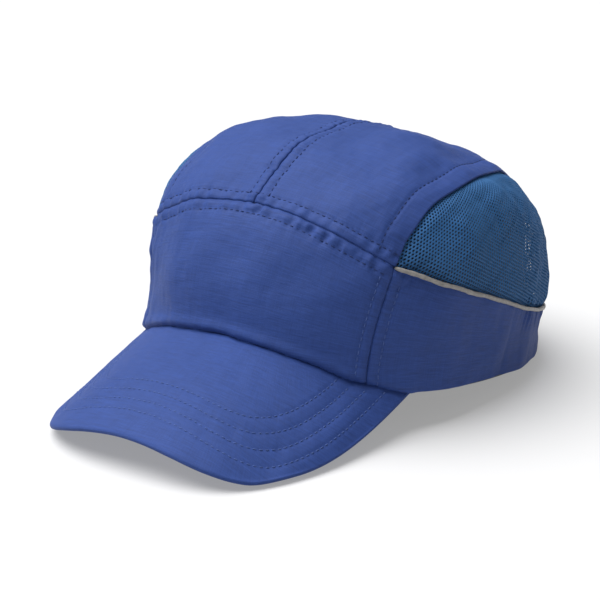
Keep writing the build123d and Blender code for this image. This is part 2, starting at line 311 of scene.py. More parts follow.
def smoothLine(points, count=120):
    # a curve through a few points
    points = np.asarray(points, float)
    ends = np.vstack([2 * points[0] - points[1], points, 2 * points[-1] - points[-2]])
    out = []
    for i in range(1, len(ends) - 2):
        for t in np.linspace(0, 1, 24, endpoint=False):
            a, b, c, d = ends[i - 1], ends[i], ends[i + 1], ends[i + 2]
            bend = (2 * a - 5 * b + 4 * c - d) * t**2 + (3 * b - a - 3 * c + d) * t**3
            out.append(0.5 * (2 * b + (c - a) * t + bend))
    out.append(points[-1])
    return resample(np.array(out), count)


def arcThrough(a, b, c, count=80):
    a, b, c = (np.array(p, float) for p in (a, b, c))
    ab, ac = b - a, c - a
    cross = 2 * (ab[0] * ac[1] - ab[1] * ac[0])
    centre = a + np.array([ac[1] * ab @ ab - ab[1] * ac @ ac, ab[0] * ac @ ac - ac[0] * ab @ ab]) / cross
    radius = np.linalg.norm(a - centre)
    start, middle, end = (math.atan2(*(p - centre)[::-1]) for p in (a, b, c))
    turns = np.unwrap([start, middle, end])
    angles = np.linspace(turns[0], turns[2], count)
    return centre + radius * np.stack([np.cos(angles), np.sin(angles)], 1)


# Seams
seams = {
    "peak": 80.7, "endX": 72.0, "endZ": 60.0,
    "sideFoot": (-79, 0), "sideMiddle": (-76.5, 40), "sideTop": (-71, 60),
    "arch": [(-71, 60), (-62, 75), (-42, 90), (-5, 98), (35, 94), (72, 77), (112, 40)],
    "piping": [(-71, 60), (-46, 51), (-7, 40), (21, 32), (53, 26), (82, 22.5), (125, 19)],
    "stripHalf": 50.0, "openingHalf": 46.0, "openingHigh": 50.0,
    "row": 5.6, "meshRow": 10.5,   # how far rows of stitches lie from their seams
}
archLine = smoothLine(seams["arch"], 200)
pipingLine = smoothLine(seams["piping"], 200)


def pipingHeight(y):
    return np.interp(y, pipingLine[:, 0], pipingLine[:, 1])


def archHeight(y):
    return np.interp(y, archLine[:, 0], archLine[:, 1])


def sideOf(line, side):
    # the same line on the wearer's left, 1, or right, -1
    return np.asarray(line) * np.array((side, 1, 1))


frontEnd = np.array((seams["endX"], seams["endZ"]))
frontFlat = arcThrough(frontEnd * np.array((-1, 1)), (0, seams["peak"]), frontEnd, 121)
frontSeam = np.stack([frontFlat[:, 0], wallY(frontFlat[:, 0], frontFlat[:, 1], False), frontFlat[:, 1]], 1)
sideFlat = arcThrough(seams["sideFoot"], seams["sideMiddle"], seams["sideTop"], 61)
sideSeamLeft = np.stack([wallX(sideFlat[:, 0], sideFlat[:, 1]), sideFlat[:, 0], sideFlat[:, 1]], 1)
seamCorner = sideSeamLeft[-1]
frontSeam[0], frontSeam[-1] = seamCorner * np.array((-1, 1, 1)), seamCorner


def centreLine():
    # from the front seam over the top to the half-moon opening
    start = frontSeam[60]
    end = np.array((0, wallY(0, seams["openingHigh"], True), seams["openingHigh"]))
    turns = [math.atan2(p[2] - crown["core"][2], p[1] - crown["core"][1]) for p in (start, end)]
    angles = np.linspace(turns[0], turns[1], 161)
    rays = np.stack([np.zeros(161), np.cos(angles), np.sin(angles)], 1) * 60 + crown["core"]
    line = onCrown(rays)
    line[0], line[-1] = start, end
    return line


centreSeam = centreLine()


def pipingRun(stopX):
    # along the left side, from the front corner back until the crown narrows to stopX
    points = []
    for turn in np.linspace(-0.72, 1.45, 240):
        z = 45.0
        for _ in range(8):
            across, ahead, behind, drift = walls(z)
            power = 2 / crown["power"]
            x = across * abs(math.cos(turn)) ** power
            reachY = behind if turn > 0 else ahead
            y = math.copysign(reachY * abs(math.sin(turn)) ** power, turn) - drift
            z = float(pipingHeight(y))
        points.append((x, y, z))
    points = np.array(points)
    points = points[(points[:, 1] > seamCorner[1] + 0.5) & ((points[:, 0] > stopX) | (points[:, 1] < 0))]
    return np.vstack([seamCorner, points])


def openingX(z):
    return seams["openingHalf"] * math.sqrt(max(0.0, 1 - (z / seams["openingHigh"]) ** 2))


pipingStop = openingX(20.5)
pipingLeft = pipingRun(pipingStop)
pipingCorner = pipingRun(seams["stripHalf"])[-1]


def archRun():
    # the mesh panel's upper edge, and the corner where it turns down the back
    flat = archLine[(archLine[:, 1] > 0)]
    x = wallX(flat[:, 0], flat[:, 1])
    line = np.stack([x, flat[:, 0], flat[:, 1]], 1)
    peak = int(np.argmax(line[:, 2]))
    keep = [k for k in range(len(line)) if k < peak or line[k, 0] > seams["stripHalf"]]
    return np.vstack([seamCorner, line[keep][1:]])


archLeft = archRun()


def stripRun():
    # down the plane that ends the mesh panel at the back
    z = np.linspace(archLeft[-1, 2], pipingCorner[2], 40)
    x = np.full(40, seams["stripHalf"])
    line = np.stack([x, wallY(x, z, True), z], 1)
    line[0], line[-1] = archLeft[-1], pipingCorner
    return line


stripLeft = stripRun()
meshEdgeLeft = np.vstack([archLeft, stripLeft[1:]])
print("seams traced")


def nearest(points, line):
    # distance to a line, and how far along it
    starts, ends = line[:-1], line[1:]
    spans = ends - starts
    sizes = (spans**2).sum(1)
    run = lengths(line)
    far, at = [], []
    for block in np.array_split(points, max(1, len(points) // 3000)):
        t = ((block[:, None] - starts) * spans).sum(2) / sizes
        t = np.clip(t, 0, 1)
        gaps = np.linalg.norm(starts + spans * t[..., None] - block[:, None], axis=2)
        pick = gaps.argmin(1)
        rows = np.arange(len(block))
        far.append(gaps[rows, pick])
        at.append(run[pick] + t[rows, pick] * (run[pick + 1] - run[pick]))
    return np.concatenate(far), np.concatenate(at)


def swells(points, size, seed, stretch=(1, 1, 1), waves=14):
    # smooth random relief, about -1 to 1, with bumps about this many millimetres apart
    rng = np.random.RandomState(seed)
    aim = rng.normal(size=(waves, 3))
    aim /= np.linalg.norm(aim, axis=1, keepdims=True)
    pace = 2 * math.pi / (size * rng.uniform(0.7, 1.5, waves))
    phase = rng.uniform(0, 2 * math.pi, waves)
    spots = points / np.array(stretch)
    return np.sin(spots @ (aim * pace[:, None]).T + phase).sum(1) / math.sqrt(waves / 2)


def ripple(at, size, seed):
    return swells(np.stack([at, np.zeros_like(at), np.zeros_like(at)], 1), size, seed, waves=10)


def hump(distance, centre, width):
    return np.exp(-(((distance - centre) / width) ** 2))


# Visor surface
visor = {
    "droop": math.tan(math.radians(25.2)), "arch": 95.4, "root": 18.4, "halfWidth": 78.5,
    "power": 3.37, "thick": 2.6, "sag": 2.0, "dip": 2.6, "middle": -45.7, "reach": 128.4,
    "rows": 4, "rowGap": 5.7, "rowFirst": 13.9, "rowPower": 4.2,
}


def visorHeight(x, y):
    crest = visor["root"] + visor["droop"] * (y + crown["front"])
    across, ahead = np.abs(x) / visor["halfWidth"], np.abs(y - visor["middle"]) / visor["reach"]
    out = (across ** visor["power"] + ahead ** visor["power"]) ** (1 / visor["power"])
    low = np.clip((70 - np.abs(x)) / 12, 0, 1)
    sag = (visor["sag"] + visor["dip"] * low**2 * (3 - 2 * low)) * np.clip((out - 0.5) * 2, 0, 1) ** 1.5
    return crest - visor["arch"] + np.sqrt(np.maximum(visor["arch"] ** 2 - np.asarray(x) ** 2, 1.0)) - sag


def visorEdge(turn, inset=0.0, power=None, sideInset=None):
    # a point of the outline, turn -90 to 90 degrees from the visor's right end to its left
    power = 2 / (power or visor["power"])
    width = visor["halfWidth"] - (inset if sideInset is None else sideInset)
    length = visor["reach"] - inset
    x = width * np.sign(np.sin(turn)) * np.abs(np.sin(turn)) ** power
    return x, visor["middle"] - length * np.abs(np.cos(turn)) ** power


def visorRoot(x, y):
    # from a point of the outline back towards the crown, where the visor's face meets it
    low, high = np.zeros_like(x), np.ones_like(x)
    for _ in range(34):
        t = (low + high) / 2
        px, py = x * (1 - t), y + (visor["middle"] - y) * t
        inside = fullness(np.stack([px, py, visorHeight(px, py)], 1)) < 1
        low, high = np.where(inside, low, t), np.where(inside, t, high)
    return x * (1 - low), y + (visor["middle"] - y) * low


def evenTurns(count, limit=88.0):
    # turns spaced evenly along the outline
    dense = np.radians(np.linspace(-limit, limit, 2000))
    x, y = visorEdge(dense)
    run = lengths(np.stack([x, y, visorHeight(x, y)], 1))
    return np.interp(np.linspace(0, run[-1], count), run, dense)


rootTurns = evenTurns(161)
rootX, rootY = visorRoot(*visorEdge(rootTurns))
jointLine = np.stack([rootX, rootY, visorHeight(rootX, rootY)], 1)

# How the cloth stands off the crown's face
sideSeams = [sideOf(sideSeamLeft, side) for side in (1, -1)]
meshEdges = [sideOf(meshEdgeLeft, side) for side in (1, -1)]
pipings = [sideOf(pipingLeft, side) for side in (1, -1)]
cloth = {"thick": 1.0, "tuck": 0.50, "pillow": 0.30, "dip": 0.40, "pucker": 0.34}


def seamRelief(points, line, seed, tuck=1.0, pucker=1.0, length=4.2):
    far, at = nearest(points, line)
    row = seams["row"]
    wave = ripple(at, length, seed)
    fine = ripple(at, length * 0.45, seed + 1)
    relief = -cloth["tuck"] * tuck * hump(far, 0, 0.55) + cloth["pillow"] * hump(far, row * 0.5, row * 0.30)
    relief -= cloth["dip"] * hump(far, row, 0.75)
    gathers = wave * hump(far, row * 0.6, row * 0.7) + 0.4 * fine * hump(far, row, 1.6)
    return relief + cloth["pucker"] * pucker * gathers


def relief(points):
    # swells all over, a groove and puckers along each seam, and folds where the cloth gathers
    x, y, z = points.T
    out = 0.60 * swells(points, 46, 3)
    out += 0.24 * swells(points, 17, 4, (1, 1, 1.6))
    out += 0.06 * swells(points, 6, 5)
    out += 0.55 * swells(points, 30, 8) * hump(z, 112, 26)
    out += seamRelief(points, centreSeam, 11, tuck=1.2, pucker=0.9)
    farFront, atFront = nearest(points, frontSeam)
    out += seamRelief(points, frontSeam, 21, pucker=1.0)
    below = (z < seams["peak"] - 0.0040 * x**2) & (y < 0)
    ladder = np.maximum(ripple(atFront, 5.0, 25), -0.3)
    strong = 0.35 + 0.5 / (1 + np.exp(-(x - 2) / 8))   # deeper on the wearer's left
    out -= np.where(below, strong * ladder * hump(farFront, 2.9, 2.0), 0)
    out += np.where(below, -0.25 * hump(farFront, 0, 1.2), 0.12 * hump(farFront, 1.0, 1.2))
    for side, seam in zip((1, -1), sideSeams):
        out += seamRelief(points, seam, 31 + side, pucker=0.55, length=7.0)
        farEdge, atEdge = nearest(points, meshEdges[side < 0])
        out += -cloth["dip"] * 1.2 * hump(farEdge, seams["meshRow"], 0.8) + 0.25 * hump(farEdge, 5, 3.4)
        out += 0.16 * ripple(atEdge, 6.0, 41 + side) * hump(farEdge, 8, 4)
        farPipe, atPipe = nearest(points, pipings[side < 0])
        out -= 0.3 * hump(farPipe, 0, 1.6)
        gather = np.clip((y - 6) / 26, 0, 1) * (x * side > 0)
        out += gather * 0.34 * ripple(atPipe, 3.6, 51) * hump(farPipe, 3.5, 6.5)
        crease = hump(y, 7 + 0.15 * (z - 18), 2.4) * (x * side > 0) * (farPipe > 0) * hump(z, 15, 22)
        out -= 0.45 * crease
    farJoint, atJoint = nearest(points, jointLine)
    above = (z > np.interp(x, jointLine[:, 0], jointLine[:, 2]) - 0.5) & (y < -50)
    roll = 1.15 * hump(farJoint, 3.0, 2.8) - 2.1 * hump(farJoint, 0.0, 0.9)
    roll += 0.14 * ripple(atJoint, 26, 61) * hump(farJoint, 6, 6)
    roll += 0.12 * ripple(atJoint, 6, 62) * hump(farJoint, 2, 3)
    out += np.where(above, roll, -1.2 * (y < -50) * (z < 22))
    out += 0.9 * hump(y, 62, 22) * hump(z, 4, 12)
    folds = hump(x, -63, 2.0) * 0.9 - hump(x, -67.5, 2.2) * 0.9 + hump(x, -58, 2.4) * 0.4
    out += folds * hump(z, 36, 20) * (y < -60)
    return out


def clothAt(points, lift=0.0):
    # onto the crown's cloth: the crown's face, its relief and a little more
    face = onCrown(points)
    return face + crownNormals(face) * (relief(face) + lift)[:, None]


# Making pieces
def addPiece(name, points, faces, look, cut, smooth=True, body="cover"):
    # cut is where each point lies on the flat cloth
    mesh = bpy.data.meshes.new(name)
    mesh.from_pydata(toRow(points).tolist(), [], faces)
    mesh.update()
    flat = np.zeros((len(points), 3))
    flat[:, :2] = cut
    mesh.attributes.new("cut", "FLOAT_VECTOR", "POINT").data.foreach_set("vector", flat.ravel())
    if smooth:
        mesh.shade_smooth()
    piece = bpy.data.objects.new(name, mesh)
    bpy.context.scene.collection.objects.link(piece)
    mesh.materials.append(look)
    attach(piece, body)
    return piece


def gridFaces(rows, columns, loop=False):
    faces = []
    for start in range(0, (rows - 1) * columns, columns):
        for c in range(columns if loop else columns - 1):
            n = (c + 1) % columns
            faces.append((start + c, start + n, start + columns + n, start + columns + c))
    return faces


def gridCut(grid):
    # flat coordinates of a grid: how far along and how far across, measured on its middle lines
    rows, columns = grid.shape[:2]
    along, across = lengths(grid[rows // 2]), lengths(grid[:, columns // 2])
    return np.stack(np.meshgrid(along, across), 2).reshape(-1, 2)


def coons(bottom, top, left, right, columns, rows):
    # a grid between four edges: left and right run from bottom to top
    b, t = resample(bottom, columns), resample(top, columns)
    l, r = resample(left, rows), resample(right, rows)
    u, v = np.linspace(0, 1, columns)[None, :, None], np.linspace(0, 1, rows)[:, None, None]
    ruled = (1 - v) * b[None] + v * t[None] + (1 - u) * l[:, None] + u * r[:, None]
    corners = (1 - u) * (1 - v) * b[0] + u * (1 - v) * b[-1] + (1 - u) * v * t[0] + u * v * t[-1]
    return ruled - corners


def turned(faces, flip):
    return [face[::-1] for face in faces] if flip else faces


def solidify(piece, thick):
    made = piece.modifiers.new("thickness", "SOLIDIFY")
    made.thickness, made.offset = thick / 1000, -1.0
    made.use_even_offset = False


def declareCut(piece, along, across, area):
    # the cut of cloth a piece is made from, in millimetres
    flat = along / 1000, across / 1000
    min(area / 1e6, flat[0] * flat[1])
    print("cut", piece.name, round(along), "x", round(across), "mm")


def declare(piece, grid):
    # its longest row and column, and its area laid flat
    along = max(lengths(row)[-1] for row in grid)
    across = max(lengths(grid[:, k])[-1] for k in range(grid.shape[1]))
    a, b = grid[1:, 1:] - grid[:-1, :-1], grid[:-1, 1:] - grid[1:, :-1]
    declareCut(piece, along, across, np.linalg.norm(np.cross(a, b), axis=2).sum() / 2)


def sewnPanel(name, grid, flip=False):
    points = clothAt(grid.reshape(-1, 3))
    faces = turned(gridFaces(*grid.shape[:2]), flip)
    piece = addPiece(name + "_sewn", points, faces, clothLook, gridCut(grid))
    solidify(piece, cloth["thick"])
    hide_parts(name)
    declare(piece, points.reshape(grid.shape))


panelStep = 0.95   # millimetres between the points of a panel


def stepsAlong(line):
    return max(6, int(lengths(np.asarray(line))[-1] / panelStep))


# Front panel
footX = np.linspace(-sideSeamLeft[0, 0], sideSeamLeft[0, 0], 61)
footLine = np.stack([footX, wallY(footX, 0 * footX, False), 0 * footX], 1)
footLine[0], footLine[-1] = sideOf(sideSeamLeft[0], -1), sideSeamLeft[0]
frontWide, frontHigh = stepsAlong(frontSeam), stepsAlong(sideSeamLeft)
frontGrid = coons(footLine, frontSeam, sideSeams[1], sideSeams[0], frontWide, frontHigh)
sewnPanel("front_panel", frontGrid)
print("front panel sewn")


# Crown panels
def openingRun(lowZ):
    # the half-moon opening's left edge, from its top down to a height
    turns = np.linspace(math.pi / 2, math.asin(lowZ / seams["openingHigh"]), 50)
    x, z = seams["openingHalf"] * np.cos(turns), seams["openingHigh"] * np.sin(turns)
    return np.stack([x, wallY(x, z, True), z], 1)


openingLeft = openingRun(pipingCorner[2])
panelFoot = np.vstack([openingLeft, resample(np.vstack([openingLeft[-1], pipingCorner]), 8)[1:]])
for side, name in ((1, "crown_panel_left"), (-1, "crown_panel_right")):
    halfSeam = frontSeam[60:] if side > 0 else frontSeam[60::-1]
    wide, high = stepsAlong(halfSeam), stepsAlong(centreSeam)
    grid = coons(halfSeam, sideOf(panelFoot, side), centreSeam, sideOf(meshEdgeLeft, side), wide, high)
    sewnPanel(name, grid, flip=side < 0)
    print(name, "sewn")

# Side bands
bandEnd = openingRun(0.0)[::-1]
bandEnd = bandEnd[bandEnd[:, 2] <= pipingLeft[-1, 2]]
bandEnd = np.vstack([bandEnd, pipingLeft[-1]])
for side, name in ((1, "side_band_left"), (-1, "side_band_right")):
    y = np.linspace(sideSeamLeft[0, 1], 60, 200)
    forward = np.stack([wallX(y, 0 * y), y, 0 * y], 1)
    x = np.linspace(forward[-1, 0], bandEnd[0, 0], 80)
    backward = np.stack([x, wallY(x, 0 * x, True), 0 * x], 1)
    foot = np.vstack([forward, backward[1:]])
    foot[0], foot[-1] = sideSeamLeft[0], bandEnd[0]
    top, end = sideOf(pipingLeft, side), sideOf(bandEnd, side)
    grid = coons(sideOf(foot, side), top, sideSeams[side < 0], end, stepsAlong(foot), 52)
    sewnPanel(name, grid, flip=side < 0)
    print(name, "sewn")

# Mesh panels: a knitted net of small oval holes, its rows leaning
net = {
    "pitch": 2.05, "squash": 0.84, "hole": 0.67, "lean": 34.0,
    "inset": -0.55, "hang": 1.8, "thick": 0.45,
}


def netAt(p, q, side):
    # p runs back along the wall, q up it, both in millimetres
    turn = np.interp(p, netRun, netTurns)
    rise = np.interp(q, netClimb, netRises)
    across, ahead, behind, drift = walls(rise * crown["height"])
    power = 2 / crown["power"]
    x = across * np.abs(np.cos(turn)) ** power
    along = np.where(np.sin(turn) > 0, behind, ahead)
    y = along * np.sign(np.sin(turn)) * np.abs(np.sin(turn)) ** power - drift
    return np.stack([x * side, y, rise * crown["height"]], 1)


netTurns = np.linspace(-0.95, 1.35, 300)
netRises = np.linspace(0.12, 0.97, 200)
middleTurn = 0.15
netRun, netClimb = netTurns, netRises   # until the lengths along the wall are known
netRun = lengths(netAt(netTurns, np.full(300, 0.5), 1))
netClimb = lengths(netAt(np.full(200, np.interp(middleTurn, netTurns, netRun)), netRises, 1))


def inNet(points, side):
    # inside the mesh panel's outline, and a little way under the cloth round it
    x, y, z = points.T
    hang = net["hang"]
    between = (z > pipingHeight(y) - hang * 0.4) & (z < archHeight(y) + hang)
    return between & (x * side > seams["stripHalf"] - hang) & (y > seamCorner[1] - hang)


def netPiece(name, side):
    pitchX, pitchY = net["pitch"], net["pitch"] * net["squash"]
    size = math.hypot(netRun[-1], netClimb[-1])
    columns, rows = int(size / pitchX), int(size / (pitchY * 0.866))
    turns = np.radians(np.arange(0, 360, 60))
    corner = np.stack([np.sin(turns) * pitchX, np.cos(turns) * pitchY], 1) * 0.5774
    column, row = (a.ravel() for a in np.meshgrid(np.arange(columns), np.arange(rows)))
    centres = np.stack([(column + (row % 2) / 2) * pitchX, row * pitchY * 0.866], 1) - size / 2
    lean = math.radians(net["lean"])
    turn = np.array([(math.cos(lean), math.sin(lean)), (-math.sin(lean), math.cos(lean))])
    middle = np.array((netRun[-1], netClimb[-1])) / 2
    spots = centres @ turn + middle
    within = (spots > 1).all(1) & (spots[:, 0] < netRun[-1] - 1) & (spots[:, 1] < netClimb[-1] - 1)
    kept = centres[within][inNet(netAt(*spots[within].T, side), side)]
    outer = kept[:, None] + corner[None]
    inner = kept[:, None] + corner[None] * net["hole"]
    keys, index = np.unique(np.round(outer.reshape(-1, 2), 2), axis=0, return_inverse=True)
    index = index.reshape(len(kept), 6)
    flat = np.vstack([keys, inner.reshape(-1, 2)]) @ turn + middle
    faces = []
    for cell in range(len(kept)):
        for k in range(6):
            n = (k + 1) % 6
            first = len(keys) + cell * 6
            face = (index[cell, k], index[cell, n], first + n, first + k)
            faces.append(face if side > 0 else face[::-1])
    points = netAt(flat[:, 0], flat[:, 1], side)
    normals = crownNormals(points)
    sway = 0.75 * swells(points, 32, 71, (1, 1, 1.5)) + 0.16 * swells(points, 9, 72)
    lift = np.concatenate([np.full(len(keys), 0.16), np.full(len(flat) - len(keys), -0.05)])
    far, _ = nearest(points, pipings[side < 0])
    edge, _ = nearest(points, meshEdges[side < 0])
    near = np.minimum(edge, far)
    dive = 1.25 * hump(near, 0, 3.4)
    cling = hump(near, 0, 8)
    sway = cling * relief(points) + (1 - cling) * sway
    points = points + normals * (net["inset"] + lift - dive + sway)[:, None]
    piece = addPiece(name + "_net", points, faces, netLook, flat)
    solidify(piece, net["thick"])
    smooth = piece.modifiers.new("rounded", "SUBSURF")
    smooth.levels = smooth.render_levels = 1
    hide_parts(name)
    spread = np.ptp(flat, axis=0)
    declareCut(piece, spread[0], spread[1], len(kept) * pitchX * pitchY * 0.866)
    print(name, len(kept), "holes")


netLook = meshLook("airMesh", palette["mesh"])
netPiece("side_mesh_left", 1)
netPiece("side_mesh_right", -1)


# Piping: a round bead of reflective cloth
def tube(line, radius, wobble, taper):
    # a bead along a line on the crown, thinner where it starts
    around = 12
    line = resample(line, max(20, int(lengths(line)[-1] / 1.2)))
    tangent = np.gradient(line, axis=0)
    tangent /= np.linalg.norm(tangent, axis=1, keepdims=True)
    normal = crownNormals(onCrown(line))
    normal -= tangent * (normal * tangent).sum(1)[:, None]
    normal /= np.linalg.norm(normal, axis=1, keepdims=True)
    side = np.cross(tangent, normal)
    run = lengths(line)
    size = radius * (1 + wobble * ripple(run, 5.0, 82)) * np.clip(0.45 + 0.55 * run / taper, 0, 1)
    turns = np.linspace(0, 2 * math.pi, around, endpoint=False)
    ring = np.cos(turns)[None, :, None] * side[:, None] + np.sin(turns)[None, :, None] * normal[:, None]
    points = line[:, None] + ring * size[:, None, None]
    flat = np.stack(np.broadcast_arrays(run[:, None], turns[None] * radius), 2)
    faces = gridFaces(len(line), around, loop=True)
    faces += [tuple(range(around)), tuple(range((len(line) - 1) * around, len(line) * around))[::-1]]
    return points.reshape(-1, 3), faces, flat.reshape(-1, 2)


bead = {"radius": 1.05, "proud": 0.45, "wobble": 0.07}
pipingMaterial = pipingLook("reflectivePiping", palette["piping"])
for side, name, taper in ((1, "piping_left", 1.5), (-1, "piping_right", 9.0)):
    face = onCrown(sideOf(pipingLeft, side))
    proud = bead["proud"] * np.clip(lengths(face) / taper, 0, 1)
    line = face + crownNormals(face) * proud[:, None]
    line[1:-1, 2] += 0.12 * ripple(lengths(line), 16, 81)[1:-1]
    points, faces, flat = tube(line, bead["radius"], bead["wobble"], taper)
    piece = addPiece(name + "_bead", points, faces, pipingMaterial, flat)
    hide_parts(name)
print("piping laid")


# Sewing thread
def stitches(name, lines, look, pitch=3.3, body="cover"):
    # every stitch of some rows: a short bead whose ends dive into the cloth
    share, radius = 0.72, 0.27
    ringTurns = np.linspace(0, 2 * math.pi, 6, endpoint=False)
    # along the stitch, above the cloth and thickness, of each ring of a bead
    half = [(-0.5, -1.3, 0.55), (-0.34, 0.25, 0.9)]
    profile = half + [(0.0, 0.55, 1.0)] + [(-along, lift, thick) for along, lift, thick in half[::-1]]
    points, faces, flat = [], [], []
    for line, normal in lines:
        run = lengths(line)
        for start in np.arange(pitch * 0.5, run[-1] - pitch * 0.5, pitch):
            base = len(points)
            for k, (along, lift, thick) in enumerate(profile):
                at = start + along * pitch * share
                spot = np.array([np.interp(at, run, line[:, a]) for a in range(3)])
                ahead = np.array([np.interp(at + 0.3, run, line[:, a]) for a in range(3)]) - spot
                up = np.array([np.interp(at, run, normal[:, a]) for a in range(3)])
                up /= np.linalg.norm(up)
                ahead /= max(1e-9, np.linalg.norm(ahead))
                across = np.cross(ahead, up)
                for turn in ringTurns:
                    ring = (across * math.cos(turn) + up * math.sin(turn)) * radius * thick
                    points.append(spot + up * lift * radius + ring)
                    flat.append((at, turn))
            for k in range(len(profile) - 1):
                for c in range(6):
                    a, b = base + k * 6 + c, base + k * 6 + (c + 1) % 6
                    faces.append((a, b, b + 6, a + 6))
            faces.append(tuple(base + c for c in range(6))[::-1])
            faces.append(tuple(base + 24 + c for c in range(6)))
    piece = addPiece(name, np.array(points), faces, look, np.array(flat), body=body)


def besideSeam(line, step):
    # a row parallel to a seam, on the crown's face
    line = onCrown(resample(line, max(30, int(lengths(np.asarray(line))[-1] / 2))))
    tangent = np.gradient(line, axis=0)
    tangent /= np.linalg.norm(tangent, axis=1, keepdims=True)
    return onCrown(line + np.cross(crownNormals(line), tangent) * step)


def clothRow(line):
    face = onCrown(line)
    normal = crownNormals(face)
    return face + normal * (relief(face) + 0.02)[:, None], normal


rowStep = seams["row"]
crownRows = [clothRow(besideSeam(centreSeam[3:-3], step)) for step in (rowStep, -rowStep)]
crownRows += [clothRow(besideSeam(frontSeam, step)) for step in (rowStep, -rowStep)]
for side, edge in zip((1, -1), meshEdges):
    crownRows.append(clothRow(besideSeam(edge[4:-4], seams["meshRow"] * side)))
stitches("crown_stitching", crownRows, threadBlue)
sideRows = [clothRow(besideSeam(seam[:-4], step)) for seam in sideSeams for step in (rowStep, -rowStep)]
stitches("side_stitching", sideRows, threadPale)
print("crown sewn")

# Visor
visorGrain = {"dip": 0.30, "wave": 0.30}


def visorRelief(x, y):
    points = np.stack([x, y, 0 * x], 1)
    out = visorGrain["wave"] * swells(points, 48, 91) + 0.07 * swells(points, 12, 92)
    for row in visorRowLines:
        far, at = nearest(points, row * np.array((1, 1, 0)))
        out -= visorGrain["dip"] * hump(far, 0, 0.8)
        out += 0.06 * ripple(at, 4, 95) * hump(far, 0, 2.5)
    return out


def visorRowLine(index):
    inset = visor["rowFirst"] + visor["rowGap"] * index
    sideInset = 6.0 + 5.0 * index
    x, y = visorEdge(evenTurns(181), inset, visor["rowPower"], sideInset)
    line = np.stack([x, y, visorHeight(x, y)], 1)
    return resample(line[fullness(line) > 1.0], 220)


visorRowLines = [visorRowLine(index) for index in range(visor["rows"])]


def visorNormals(x):
    slope = x / np.sqrt(np.maximum(visor["arch"] ** 2 - x**2, 1.0))
    normal = np.stack([slope, np.full_like(x, -visor["droop"]), np.ones_like(x)], 1)
    return normal / np.linalg.norm(normal, axis=1, keepdims=True)


def visorSkin(name, upper):
    columns, rows, rim = 221, 56, 7
    turns = evenTurns(columns, 89.0)
    edgeX, edgeY = visorEdge(turns, visor["thick"] / 2 * 0.8)
    startX, startY = visorRoot(edgeX, edgeY)
    depth = visor["thick"]
    points, flat = [], []
    run = lengths(np.stack([edgeX, edgeY, visorHeight(edgeX, edgeY)], 1))
    for row in range(rows):
        t = row / (rows - 1)
        x, y = startX + (edgeX - startX) * t, startY + (edgeY - startY) * t
        if row == 0:
            x, y = x * 0.965, y + 3.2
        normal = visorNormals(x)
        base = np.stack([x, y, visorHeight(x, y)], 1)
        if upper:
            points.append(base + normal * visorRelief(x, y)[:, None])
        else:
            points.append(base - normal * (depth - 0.4 * visorRelief(x, y))[:, None])
        flat.append(np.stack([run, np.hypot(x - startX, y - startY)], 1))
    tangent = np.gradient(np.stack([edgeX, edgeY], 1), axis=0)
    outward = np.stack([tangent[:, 1], -tangent[:, 0], np.zeros(columns)], 1)
    outward *= np.sign((outward[:, 1] * -1).sum())
    normal = visorNormals(edgeX)
    outward -= normal * (outward * normal).sum(1)[:, None]
    outward /= np.linalg.norm(outward, axis=1, keepdims=True)
    base = np.stack([edgeX, edgeY, visorHeight(edgeX, edgeY)], 1) - normal * depth / 2
    ledge = visorRelief(edgeX, edgeY) * 0.6
    for k in range(1, rim + 1):
        turn = math.pi / 2 * (1 - k / rim) * (1 if upper else -1)
        ring = outward * math.cos(turn) + normal * math.sin(turn)
        points.append(base + ring * (depth / 2) + normal * (ledge * abs(math.sin(turn)))[:, None])
        flat.append(flat[-1] + np.array((0, depth * 0.22)))
    faces = turned(gridFaces(rows + rim, columns), upper)
    piece = addPiece(name + "_sewn", np.vstack(points), faces, clothLook, np.vstack(flat))
    solidify(piece, 0.7)
    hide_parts(name)
    declare(piece, np.array(points))


visorSkin("visor_cover_top", True)
visorSkin("visor_cover_under", False)
visorRows = []
for line in visorRowLines:
    normal = visorNormals(line[:, 0])
    visorRows.append((line + normal * (visorRelief(line[:, 0], line[:, 1]) + 0.02)[:, None], normal))
stitches("visor_stitching", visorRows, threadPale, pitch=3.0)
print("visor sewn")

# Inside the cover
def domePoint(turn, z, inset, topInset=None, spread=1.0):
    # a point of the crown's wall moved in by inset, or of the shell's where spread is 0
    top = crown["height"] - (inset if topInset is None else topInset)
    rise = np.clip(np.asarray(z, float) / top, 0, 0.99999)
    across = reach(crown["halfWidth"] - inset, crown["sideSwell"] * spread, crown["sidePowers"], rise)
    ahead = reach(crown["front"] - inset, crown["frontSwell"], crown["frontPowers"], rise)
    behind = reach(crown["rear"] - inset, crown["rearSwell"] * spread, crown["rearPowers"], rise)
    power = 2 / crown["power"]
    x = across * np.sign(np.cos(turn)) * np.abs(np.cos(turn)) ** power
    along = np.where(np.sin(turn) > 0, behind, ahead)
    y = along * np.sign(np.sin(turn)) * np.abs(np.sin(turn)) ** power - crown["drift"] * rise**2
    return np.stack([x, y, z * np.ones_like(x)], -1)


def domeHeight(x, y, inset, topInset=None, spread=1.0):
    # how high that face is over a point of the plan
    top = crown["height"] - (inset if topInset is None else topInset)
    low, high = np.zeros_like(x, dtype=float), np.full_like(x, top, dtype=float)
    for _ in range(34):
        z = (low + high) / 2
        rise = np.clip(z / top, 0, 0.99999)
        across = reach(crown["halfWidth"] - inset, crown["sideSwell"] * spread, crown["sidePowers"], rise)
        ahead = reach(crown["front"] - inset, crown["frontSwell"], crown["frontPowers"], rise)
        behind = reach(crown["rear"] - inset, crown["rearSwell"] * spread, crown["rearPowers"], rise)
        back = y + crown["drift"] * rise**2
        along = np.where(back < 0, ahead, behind)
        inside = (np.abs(x) / across) ** crown["power"] + (np.abs(back) / along) ** crown["power"] < 1
        low, high = np.where(inside, z, low), np.where(inside, high, z)
    return low


